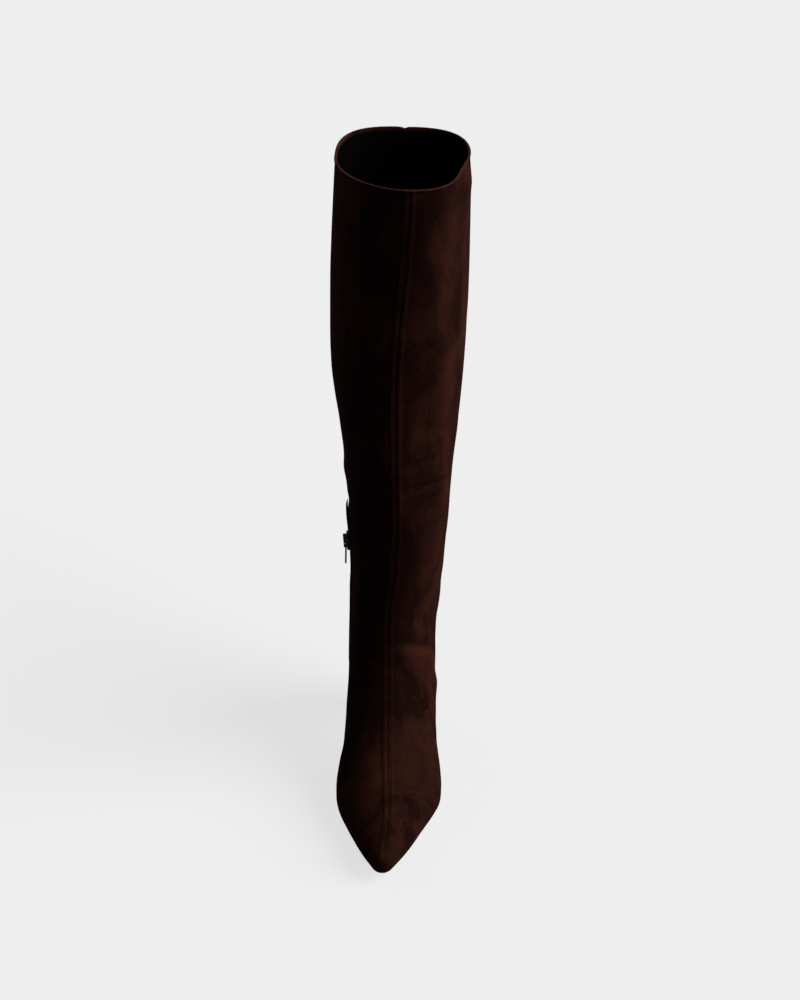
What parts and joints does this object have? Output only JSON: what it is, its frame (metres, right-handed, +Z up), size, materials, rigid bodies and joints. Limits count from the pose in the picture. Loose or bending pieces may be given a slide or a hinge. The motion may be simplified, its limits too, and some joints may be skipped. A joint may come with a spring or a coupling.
{
  "type": "tall boot",
  "caption": "Knee-high suede boot for the left foot, with a pointed toe, a front seam, a half zip on the inner side and a slim covered heel.",
  "frame": {"origin": "on the floor, under the middle of the heel's top piece", "axes": "+Z up, toe towards -Y, outer side of the left foot towards +X"},
  "size_m": [0.1014, 0.2754, 0.4876],
  "materials": {
    "suede": "napped suede, matt",
    "sole": "matt",
    "sock": "matt",
    "top_piece": "matt",
    "tape": "woven",
    "teeth": "satin",
    "zip_metal": "satin black"
  },
  "bodies": {
    "boot": {"upper": "suede", "outsole": "sole", "insole": "sock", "heel_block": "suede", "heel_top_piece": "top_piece", "zip_tape": "tape", "zip_chain": "teeth", "zip_slider": "zip_metal"},
    "zip_pull": {"zip_pull_tab": "zip_metal"}
  },
  "joints": [
    {"name": "zip_pull_swing", "type": "hinge", "parent": "boot", "child": "zip_pull", "pos_m": [-0.03828, -0.03, 0.17602], "axis": [0, 1, 0], "range_deg": [-3, 130]}
  ]
}
